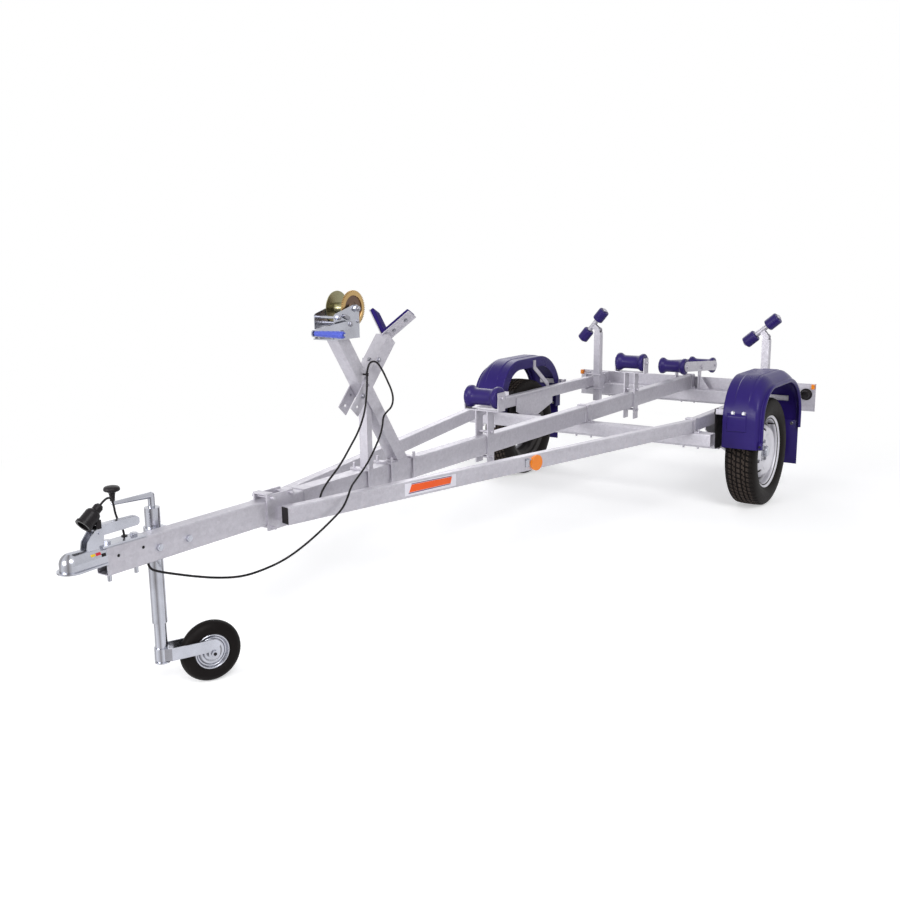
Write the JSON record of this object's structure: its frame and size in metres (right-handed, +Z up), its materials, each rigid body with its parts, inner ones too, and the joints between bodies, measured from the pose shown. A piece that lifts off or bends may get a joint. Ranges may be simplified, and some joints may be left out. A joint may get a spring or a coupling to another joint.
{
  "type": "boat trailer",
  "caption": "Single-axle boat trailer with keel rollers, rocking rear rollers, tilting side rollers, bow stop, hand winch, ball coupler and jockey wheel.",
  "frame": {"origin": "on the floor, under the middle of the trailer's length and width", "axes": "+X forward to the coupler, +Y to the left side, +Z up"},
  "size_m": [4.625, 1.632, 1.1656],
  "materials": {
    "galvanised": "hot-dip galvanised, dull, lightly mottled",
    "bright_zinc": "bright blue-white zinc plating",
    "yellow_zinc": "yellow zinc plating",
    "indigo_plastic": "moulded, satin gloss",
    "indigo_rubber": "moulded, satin",
    "black_plastic": "moulded, matt",
    "black_steel": "black paint",
    "tyre_rubber": "matt black rubber",
    "silver_paint": "silver paint",
    "grip_blue": "moulded, glossy",
    "amber": "clear amber moulding",
    "red_lens": "clear red moulding",
    "plate_white": "plain white"
  },
  "bodies": {
    "trailer": {"beam": "galvanised", "rails": "galvanised", "front_clamp": "galvanised", "cross_members": "galvanised", "straps": "bright_zinc", "tail_board": "galvanised", "axle_beam": "galvanised", "suspension_arms": "galvanised", "axle_carriers": "galvanised", "guards": "indigo_plastic", "guard_hangers": "black_steel", "guard_arms": "bright_zinc", "keel_brackets": "galvanised", "rocker_legs": "galvanised", "side_posts": "galvanised", "saddle": "galvanised", "saddle_clamps": "bright_zinc", "winch_arm": "galvanised", "winch_strut": "galvanised", "bow_arm": "galvanised", "bow_pads": "indigo_rubber", "winch_frame": "bright_zinc", "coupler": "bright_zinc", "coupler_lever": "bright_zinc", "plug": "black_plastic", "jack_clamp": "bright_zinc", "jack_tube": "bright_zinc", "jack_knob": "black_plastic", "tail_lamps": "black_plastic", "tail_lenses": "red_lens", "number_plate": "plate_white", "side_markers": "amber", "lamp_cable": "black_plastic", "plug_cable": "black_plastic", "cable_grommets": "black_plastic"},
    "left_wheel": {"left_tyre": "tyre_rubber", "left_rim": "silver_paint", "left_hub": "galvanised"},
    "right_wheel": {"right_tyre": "tyre_rubber", "right_rim": "silver_paint", "right_hub": "galvanised"},
    "keel_roller_front": {"keel_roller_front": "indigo_rubber"},
    "keel_roller_middle": {"keel_roller_middle": "indigo_rubber"},
    "rocker": {"rocker": "galvanised"},
    "rocker_roller_front": {"rocker_roller_front": "indigo_rubber"},
    "rocker_roller_rear": {"rocker_roller_rear": "indigo_rubber"},
    "left_cradle": {"left_cradle": "galvanised"},
    "left_side_rollers": {"left_side_rollers": "indigo_rubber"},
    "right_cradle": {"right_cradle": "galvanised"},
    "right_side_rollers": {"right_side_rollers": "indigo_rubber"},
    "winch_drum": {"winch_drum": "yellow_zinc"},
    "winch_crank": {"winch_crank": "bright_zinc", "winch_grip": "grip_blue"},
    "jack_inner": {"jack_inner": "bright_zinc"},
    "jack_fork": {"jack_fork": "bright_zinc"},
    "jockey_wheel": {"jockey_tyre": "tyre_rubber", "jockey_rim": "bright_zinc"}
  },
  "joints": [
    {"name": "left_wheel_spin", "type": "hinge", "parent": "trailer", "child": "left_wheel", "pos_m": [-1.2175, 0.695, 0.2735], "axis": [0, 1, 0], "continuous": true},
    {"name": "right_wheel_spin", "type": "hinge", "parent": "trailer", "child": "right_wheel", "pos_m": [-1.2175, -0.695, 0.2735], "axis": [0, 1, 0], "continuous": true},
    {"name": "keel_roller_front_spin", "type": "hinge", "parent": "trailer", "child": "keel_roller_front", "pos_m": [0.2445, 0, 0.683], "axis": [0, 1, 0], "continuous": true},
    {"name": "keel_roller_middle_spin", "type": "hinge", "parent": "trailer", "child": "keel_roller_middle", "pos_m": [-1.2215, 0, 0.683], "axis": [0, 1, 0], "continuous": true},
    {"name": "rocker_tilt", "type": "hinge", "parent": "trailer", "child": "rocker", "pos_m": [-2.0375, 0, 0.575], "axis": [0, 1, 0], "range_deg": [-20, 6]},
    {"name": "rocker_roller_front_spin", "type": "hinge", "parent": "rocker", "child": "rocker_roller_front", "pos_m": [-1.8055, 0, 0.6], "axis": [0, 1, 0], "continuous": true},
    {"name": "rocker_roller_rear_spin", "type": "hinge", "parent": "rocker", "child": "rocker_roller_rear", "pos_m": [-2.2655, 0, 0.562], "axis": [0, 1, 0], "continuous": true},
    {"name": "left_cradle_tilt", "type": "hinge", "parent": "trailer", "child": "left_cradle", "pos_m": [-1.8675, 0.5177, 0.786], "axis": [1, 0, 0], "range_deg": [-100, 20]},
    {"name": "left_side_rollers_spin", "type": "hinge", "parent": "left_cradle", "child": "left_side_rollers", "pos_m": [-1.8675, 0.48813, 0.82124], "axis": [0, 0.766, 0.6428], "continuous": true},
    {"name": "right_cradle_tilt", "type": "hinge", "parent": "trailer", "child": "right_cradle", "pos_m": [-1.8675, -0.5177, 0.786], "axis": [1, 0, 0], "range_deg": [-110, 10]},
    {"name": "right_side_rollers_spin", "type": "hinge", "parent": "right_cradle", "child": "right_side_rollers", "pos_m": [-1.8675, -0.55294, 0.81557], "axis": [0, 0.6428, 0.766], "continuous": true},
    {"name": "winch_drum_spin", "type": "hinge", "parent": "trailer", "child": "winch_drum", "pos_m": [1.1245, 0, 1.104], "axis": [0, 1, 0], "continuous": true},
    {"name": "winch_crank_spin", "type": "hinge", "parent": "trailer", "child": "winch_crank", "pos_m": [1.1745, 0, 1.055], "axis": [0, 1, 0], "continuous": true},
    {"name": "jack_slide", "type": "slide", "parent": "trailer", "child": "jack_inner", "axis": [0, 0, 1], "range_m": [-0.1, 0.07]},
    {"name": "jack_swivel", "type": "hinge", "parent": "jack_inner", "child": "jack_fork", "pos_m": [1.9505, -0.062, 0.123], "axis": [0, 0, 1], "continuous": true},
    {"name": "jockey_wheel_spin", "type": "hinge", "parent": "jack_fork", "child": "jockey_wheel", "pos_m": [1.81142, -0.00581, 0.097], "axis": [0.3746, 0.9272, 0], "continuous": true}
  ],
  "couplings": [
    {"joint": "winch_crank_spin", "follows": "winch_drum_spin", "ratio": -6}
  ]
}
